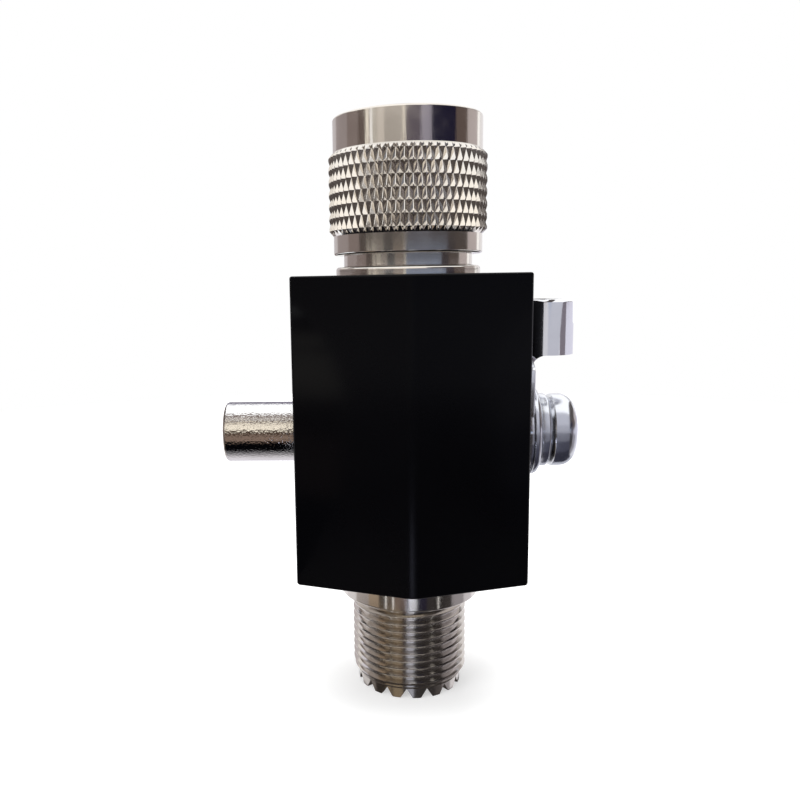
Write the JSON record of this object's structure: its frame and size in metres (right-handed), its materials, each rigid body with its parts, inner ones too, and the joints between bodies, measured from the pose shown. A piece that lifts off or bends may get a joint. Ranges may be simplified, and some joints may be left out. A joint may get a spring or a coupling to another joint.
{
  "type": "coax lightning arrestor",
  "caption": "In-line coax lightning arrestor: black ridged block with a knurled UHF plug above, a threaded UHF socket below, a gas tube holder and a ground lug.",
  "frame": {"origin": "on the coax axis, at the collar's lower face where the socket's thread starts", "axes": "+Z along the coax axis towards the plug, +X towards the ground screw, -X towards the gas tube holder"},
  "size_m": [0.0478, 0.0298, 0.0774],
  "materials": {
    "black_coat": "satin",
    "nickel_plate": "polished",
    "bare_brass": "satin",
    "zinc_plate": "polished",
    "tin_plate": "polished",
    "spring_steel": "satin",
    "white_insulator": "matte",
    "tube_ceramic": "matte"
  },
  "bodies": {
    "arrestor_body": {"body_block": "black_coat", "plug_body": "nickel_plate", "nut_retaining_ring": "spring_steel", "plug_insulator": "white_insulator", "plug_pin": "nickel_plate", "inner_conductor": "bare_brass", "socket_shell": "nickel_plate", "socket_insulator": "white_insulator", "socket_contact": "bare_brass", "gas_tube_outer_electrode": "spring_steel", "gas_tube_ceramic": "tube_ceramic", "gas_tube_inner_electrode": "spring_steel"},
    "nut": {"coupling_nut": "nickel_plate"},
    "cap_spring": {"contact_spring": "spring_steel"},
    "cap": {"gas_tube_cap": "nickel_plate"},
    "washers": {"flat_washer": "zinc_plate", "spring_washer": "zinc_plate"},
    "screw": {"ground_screw": "zinc_plate"},
    "lug": {"ring_lug": "tin_plate"}
  },
  "joints": [
    {"name": "nut_spin", "type": "hinge", "parent": "arrestor_body", "child": "nut", "pos_m": [0, 0, 0.0553], "axis": [0, 0, 1], "continuous": true},
    {"name": "cap_slide", "type": "slide", "parent": "arrestor_body", "child": "cap_spring", "axis": [-1, 0, 0], "range_m": [0, 0.005]},
    {"name": "cap_turn", "type": "hinge", "parent": "cap_spring", "child": "cap", "pos_m": [-0.0174, 0, 0.0226], "axis": [-1, 0, 0], "range_deg": [0, 1800]},
    {"name": "washer_slide", "type": "slide", "parent": "arrestor_body", "child": "washers", "axis": [1, 0, 0], "range_m": [0, 0.0048]},
    {"name": "screw_turn", "type": "hinge", "parent": "washers", "child": "screw", "pos_m": [0.015, 0, 0.0226], "axis": [1, 0, 0], "range_deg": [0, 2160]},
    {"name": "lug_swivel", "type": "hinge", "parent": "arrestor_body", "child": "lug", "pos_m": [0.01565, 0, 0.0226], "axis": [1, 0, 0], "continuous": true}
  ],
  "couplings": [
    {"joint": "cap_turn", "follows": "cap_slide", "rad_per_m": 6283.2},
    {"joint": "screw_turn", "follows": "washer_slide", "rad_per_m": 7853.9}
  ]
}
